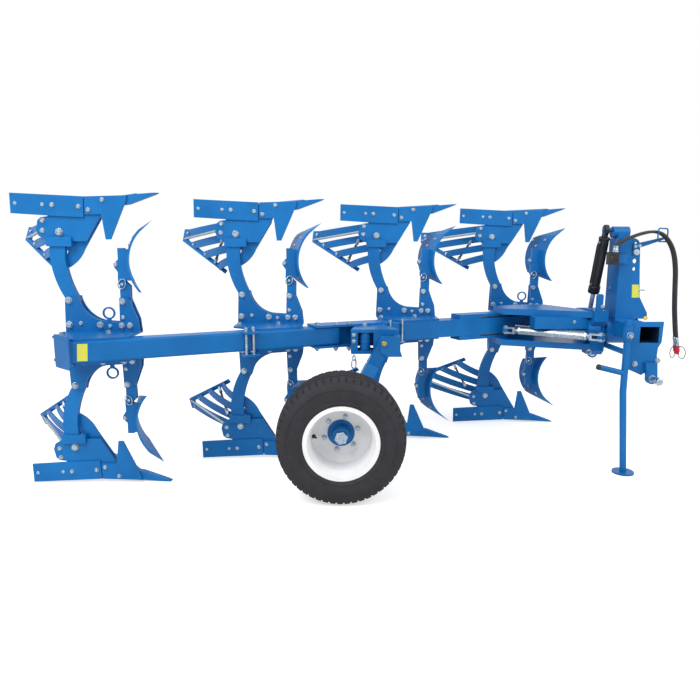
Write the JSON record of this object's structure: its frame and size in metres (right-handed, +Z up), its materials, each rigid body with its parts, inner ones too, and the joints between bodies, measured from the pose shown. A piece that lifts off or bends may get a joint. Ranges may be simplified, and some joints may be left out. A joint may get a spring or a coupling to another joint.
{
  "type": "reversible mouldboard plough",
  "caption": "Mounted reversible plough: slanted beam with paired slatted bodies, headstock with turnover cylinder and mast, depth wheel and parking stand.",
  "frame": {"origin": "centre of the bounding box's base, on the floor, measured without the hoses and their couplings", "axes": "+X forward (direction of travel, towards the tractor's linkage), +Y to its left, +Z up"},
  "size_m": [4.4794, 2.3477, 1.756],
  "materials": {
    "blue_paint": "gloss",
    "zinc": "bright",
    "chrome_rod": "polished",
    "black_metal": "satin",
    "hose_rubber": "matt",
    "rim_silver": "satin",
    "tyre_rubber": "matt"
  },
  "bodies": {
    "headstock": {"bearing_housing": "blue_paint", "cross_tube": "blue_paint", "cross_bars": "blue_paint", "hitch_plates": "blue_paint", "lower_link_lugs": "blue_paint", "lower_link_pins": "zinc", "mast": "blue_paint", "mast_boss": "blue_paint", "top_link_pin": "zinc", "stand_sleeve": "blue_paint", "hose_guide": "blue_paint", "valve_bracket": "blue_paint", "valve_block": "black_metal", "hose_1": "hose_rubber", "hose_2": "hose_rubber", "coupling_1": "zinc", "coupling_2": "zinc"},
    "plough": {"rear_beam": "blue_paint", "beam_end_plate": "blue_paint", "front_beam": "blue_paint", "splice": "blue_paint", "brackets": "blue_paint", "station_flanges": "blue_paint", "legs": "blue_paint", "frogs": "blue_paint", "landslides": "blue_paint", "share_carriers": "blue_paint", "points": "blue_paint", "shares": "blue_paint", "shins": "blue_paint", "slats": "blue_paint", "stay_bars": "blue_paint", "screw_stays": "zinc", "skimmer_shanks": "blue_paint", "skimmers": "blue_paint", "lifting_rings": "blue_paint", "turning_head": "blue_paint", "turnover_shaft": "zinc", "frame_upper_arm": "blue_paint", "frame_lower_arm": "blue_paint", "adjuster_ears": "blue_paint", "width_adjuster": "zinc", "frame_spindle": "zinc", "wheel_bracket": "blue_paint"},
    "barrel": {"cylinder_barrel": "black_metal"},
    "rod": {"cylinder_rod": "chrome_rod"},
    "wheel_arm": {"wheel_arm": "blue_paint", "wheel_axle": "zinc"},
    "wheel": {"wheel_hub": "blue_paint", "wheel_rim": "rim_silver", "tyre": "tyre_rubber"},
    "stand": {"stand_leg": "blue_paint"}
  },
  "joints": [
    {"name": "turnover", "type": "hinge", "parent": "headstock", "child": "plough", "pos_m": [1.75, -0.132, 0.878], "axis": [1, 0, 0], "range_deg": [0, 180]},
    {"name": "cylinder_swing", "type": "hinge", "parent": "headstock", "child": "barrel", "pos_m": [1.797, -0.132, 1.574], "axis": [1, 0, 0], "range_deg": [-31.5, 0.5]},
    {"name": "cylinder_stroke", "type": "slide", "parent": "barrel", "child": "rod", "axis": [0, 0.2862, -0.9582], "range_m": [-0.166, 0.001]},
    {"name": "wheel_arm_swing", "type": "hinge", "parent": "plough", "child": "wheel_arm", "pos_m": [0.232, -0.632, 0.845], "axis": [0, 1, 0], "range_deg": [-238, 0]},
    {"name": "wheel_spin", "type": "hinge", "parent": "wheel_arm", "child": "wheel", "pos_m": [-0.041, -1.013, 0.375], "axis": [0, 1, 0], "continuous": true},
    {"name": "stand_slide", "type": "slide", "parent": "headstock", "child": "stand", "axis": [0, 0, 1], "range_m": [0, 0.16]}
  ],
  "couplings": [
    {"joint": "cylinder_swing", "follows": "turnover", "ratio": -0.17078},
    {"joint": "cylinder_stroke", "follows": "turnover", "m_per_rad": -0.052203}
  ]
}
